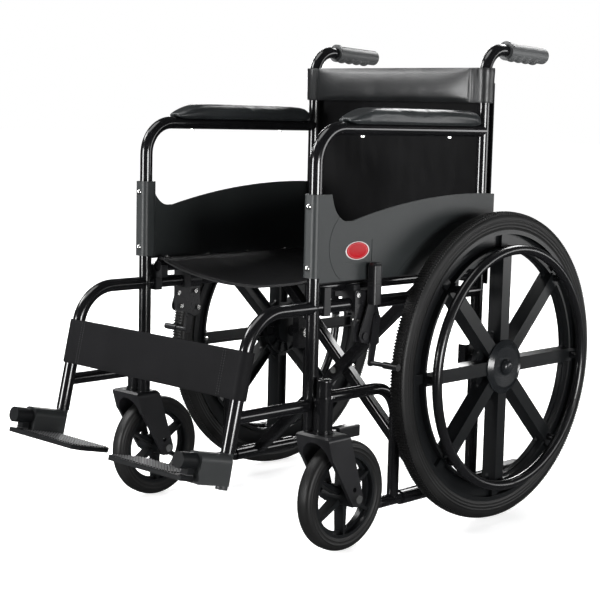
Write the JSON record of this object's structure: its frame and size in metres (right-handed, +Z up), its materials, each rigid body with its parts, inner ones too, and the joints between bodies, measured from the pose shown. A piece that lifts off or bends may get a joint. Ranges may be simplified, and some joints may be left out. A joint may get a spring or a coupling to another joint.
{
  "type": "manual wheelchair",
  "caption": "Folding manual wheelchair with large spoked push wheels, swivel casters, cross-braced frame, padded arms and flip-up footrests.",
  "frame": {"origin": "on the floor under the middle of the chair's outer box", "axes": "+Z up, the chair faces -Y, +X is the sitter's left"},
  "size_m": [0.709, 1.0534, 0.9323],
  "materials": {
    "frame_paint": "gloss black enamel",
    "black_plastic": "matte moulded",
    "fork_plastic": "matte moulded",
    "grip_plastic": "matte grip",
    "plate_plastic": "ribbed",
    "wheel_plastic": "satin moulded",
    "cap_plastic": "satin",
    "pad_vinyl": "grained",
    "tyre_rubber": "matte",
    "rim_plastic": "gloss black moulding",
    "brake_steel": "black coat",
    "zinc": "zinc plated",
    "upholstery": "coated nylon"
  },
  "bodies": {
    "left_side": {"left_arm_tube": "frame_paint", "left_footrest_hanger": "frame_paint", "left_back_cane": "frame_paint", "left_side_rails": "frame_paint", "left_caster_housing": "frame_paint", "left_rail_end_caps": "black_plastic", "left_arm_pad": "pad_vinyl", "left_skirt_guard": "black_plastic", "left_push_grip": "grip_plastic", "left_seat_saddles": "black_plastic", "left_frame_fasteners": "zinc", "left_rear_axle": "zinc", "left_brake_bracket": "brake_steel", "back_sling": "upholstery", "back_band": "upholstery", "calf_panel": "upholstery"},
    "brace_a": {"brace_a": "frame_paint", "right_seat_tube": "frame_paint", "seat_sling": "upholstery"},
    "brace_b": {"brace_b": "frame_paint", "left_seat_tube": "frame_paint", "brace_center_bolt": "zinc"},
    "right_side": {"right_arm_tube": "frame_paint", "right_footrest_hanger": "frame_paint", "right_back_cane": "frame_paint", "right_side_rails": "frame_paint", "right_caster_housing": "frame_paint", "right_rail_end_caps": "black_plastic", "right_arm_pad": "pad_vinyl", "right_skirt_guard": "black_plastic", "right_push_grip": "grip_plastic", "right_seat_saddles": "black_plastic", "right_frame_fasteners": "zinc", "right_rear_axle": "zinc", "right_brake_bracket": "brake_steel"},
    "left_wheel": {"left_wheel": "wheel_plastic", "left_tyre": "tyre_rubber", "left_push_rim": "rim_plastic", "left_hub_cap": "cap_plastic"},
    "left_caster_swivel": {"left_caster_fork": "fork_plastic", "left_caster_axle": "zinc"},
    "left_caster_wheel": {"left_caster_wheel": "wheel_plastic", "left_caster_tyre": "tyre_rubber"},
    "left_brake_lever": {"left_brake_lever": "brake_steel"},
    "left_brake_shoe": {"left_brake_shoe": "brake_steel"},
    "left_footrest": {"left_footrest_extension": "black_plastic"},
    "left_footplate": {"left_footplate": "plate_plastic"},
    "right_wheel": {"right_wheel": "wheel_plastic", "right_tyre": "tyre_rubber", "right_push_rim": "rim_plastic", "right_hub_cap": "cap_plastic"},
    "right_caster_swivel": {"right_caster_fork": "fork_plastic", "right_caster_axle": "zinc"},
    "right_caster_wheel": {"right_caster_wheel": "wheel_plastic", "right_caster_tyre": "tyre_rubber"},
    "right_brake_lever": {"right_brake_lever": "brake_steel"},
    "right_brake_shoe": {"right_brake_shoe": "brake_steel"},
    "right_footrest": {"right_footrest_extension": "black_plastic"},
    "right_footplate": {"right_footplate": "plate_plastic"}
  },
  "joints": [
    {"name": "fold", "type": "hinge", "parent": "left_side", "child": "brace_a", "pos_m": [0.232, 0.11572, 0.056], "axis": [0, 1, 0], "range_deg": [0, 40], "deforming": ["seat_sling", "back_sling", "back_band", "calf_panel"]},
    {"name": "fold_center", "type": "hinge", "parent": "brace_a", "child": "brace_b", "pos_m": [0, 0.11222, 0.264], "axis": [0, 1, 0], "range_deg": [-80, 0]},
    {"name": "fold_right", "type": "hinge", "parent": "brace_b", "child": "right_side", "pos_m": [-0.232, 0.11572, 0.056], "axis": [0, 1, 0], "range_deg": [0, 40]},
    {"name": "left_wheel_spin", "type": "hinge", "parent": "left_side", "child": "left_wheel", "pos_m": [0.304, 0.22572, 0.301], "axis": [1, 0, 0], "continuous": true},
    {"name": "left_caster_swivel", "type": "hinge", "parent": "left_side", "child": "left_caster_swivel", "pos_m": [0.261, -0.21428, 0.25], "axis": [0, 0, 1], "continuous": true},
    {"name": "left_caster_roll", "type": "hinge", "parent": "left_caster_swivel", "child": "left_caster_wheel", "pos_m": [0.261, -0.16428, 0.101], "axis": [1, 0, 0], "continuous": true},
    {"name": "left_brake_lever", "type": "hinge", "parent": "left_side", "child": "left_brake_lever", "pos_m": [0.2595, -0.11228, 0.384], "axis": [1, 0, 0], "range_deg": [0, 50]},
    {"name": "left_brake_shoe", "type": "hinge", "parent": "left_side", "child": "left_brake_shoe", "pos_m": [0.254, -0.07428, 0.412], "axis": [1, 0, 0], "range_deg": [0, 4]},
    {"name": "left_footrest_height", "type": "slide", "parent": "left_side", "child": "left_footrest", "axis": [0, -0.2164, -0.9763], "range_m": [0, 0.07]},
    {"name": "left_footplate_flip", "type": "hinge", "parent": "left_footrest", "child": "left_footplate", "pos_m": [0.232, -0.41804, 0.193], "axis": [0, 0.9763, -0.2164], "range_deg": [0, 110]},
    {"name": "right_wheel_spin", "type": "hinge", "parent": "right_side", "child": "right_wheel", "pos_m": [-0.304, 0.22572, 0.301], "axis": [1, 0, 0], "continuous": true},
    {"name": "right_caster_swivel", "type": "hinge", "parent": "right_side", "child": "right_caster_swivel", "pos_m": [-0.261, -0.21428, 0.25], "axis": [0, 0, 1], "continuous": true},
    {"name": "right_caster_roll", "type": "hinge", "parent": "right_caster_swivel", "child": "right_caster_wheel", "pos_m": [-0.261, -0.16428, 0.101], "axis": [1, 0, 0], "continuous": true},
    {"name": "right_brake_lever", "type": "hinge", "parent": "right_side", "child": "right_brake_lever", "pos_m": [-0.2595, -0.11228, 0.384], "axis": [1, 0, 0], "range_deg": [0, 50]},
    {"name": "right_brake_shoe", "type": "hinge", "parent": "right_side", "child": "right_brake_shoe", "pos_m": [-0.254, -0.07428, 0.412], "axis": [1, 0, 0], "range_deg": [0, 4]},
    {"name": "right_footrest_height", "type": "slide", "parent": "right_side", "child": "right_footrest", "axis": [0, -0.2164, -0.9763], "range_m": [0, 0.07]},
    {"name": "right_footplate_flip", "type": "hinge", "parent": "right_footrest", "child": "right_footplate", "pos_m": [-0.232, -0.41804, 0.193], "axis": [0, -0.9763, 0.2164], "range_deg": [0, 110]}
  ],
  "couplings": [
    {"joint": "fold_center", "follows": "fold", "ratio": -2},
    {"joint": "fold_right", "follows": "fold", "ratio": 1},
    {"joint": "left_brake_shoe", "follows": "left_brake_lever", "ratio": 0.08},
    {"joint": "left_footplate_flip", "follows": "fold", "ratio": 2.75},
    {"joint": "right_brake_shoe", "follows": "right_brake_lever", "ratio": 0.08},
    {"joint": "right_footplate_flip", "follows": "fold", "ratio": 2.75}
  ]
}
